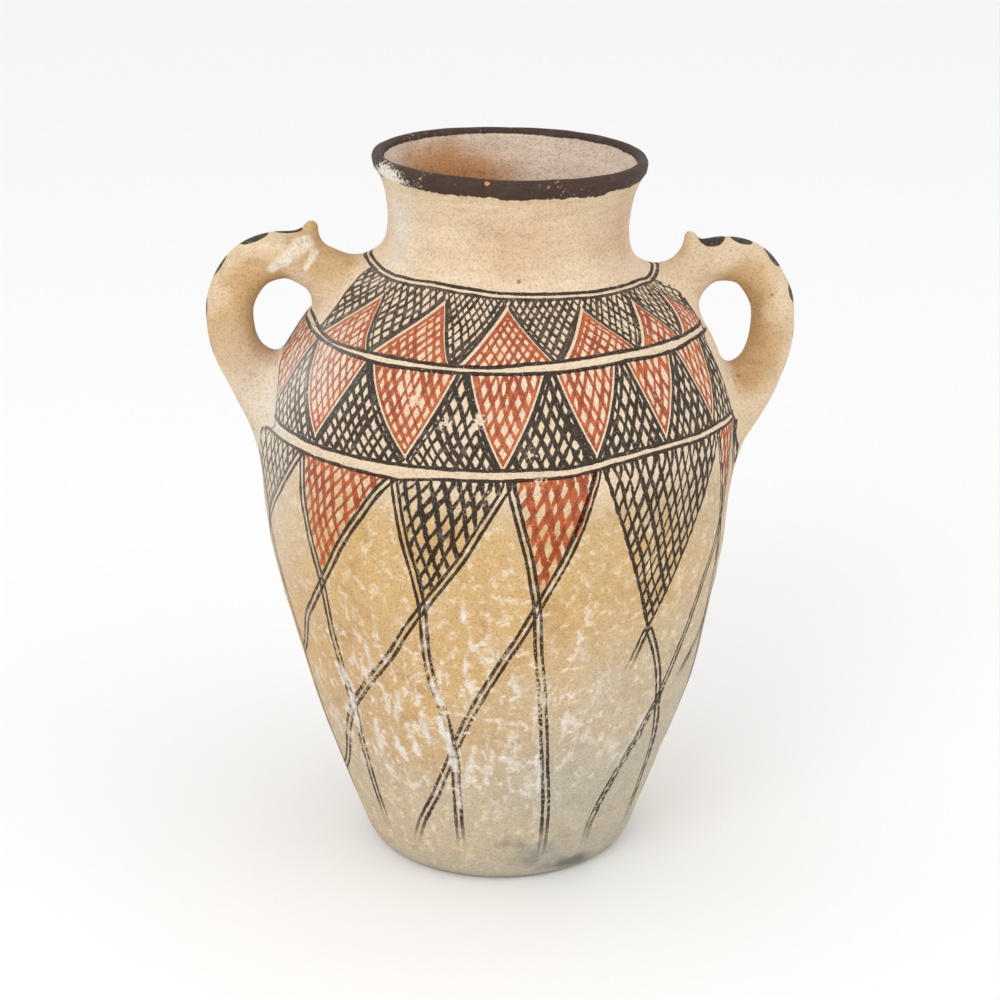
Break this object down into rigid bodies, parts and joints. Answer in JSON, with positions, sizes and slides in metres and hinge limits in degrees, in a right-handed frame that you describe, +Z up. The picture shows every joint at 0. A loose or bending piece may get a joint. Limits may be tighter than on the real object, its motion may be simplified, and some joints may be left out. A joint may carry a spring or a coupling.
{
  "type": "pottery vase",
  "caption": "Hollow hand-built pottery jar with a sloping shoulder, flared mouth and loop handles with thumb knobs, standing on a flat foot.",
  "frame": {"origin": "centre of the flat underside of the foot", "axes": "+Z up along the pot's axis, the handles lie along X, +Y towards the back of the pot as pictured"},
  "size_m": [0.3257, 0.261, 0.4029],
  "materials": {
    "fired_clay": "matte slip-coated earthenware with worn dark and red painted bands"
  },
  "bodies": {
    "root": {"vase": "fired_clay"}
  },
  "joints": []
}
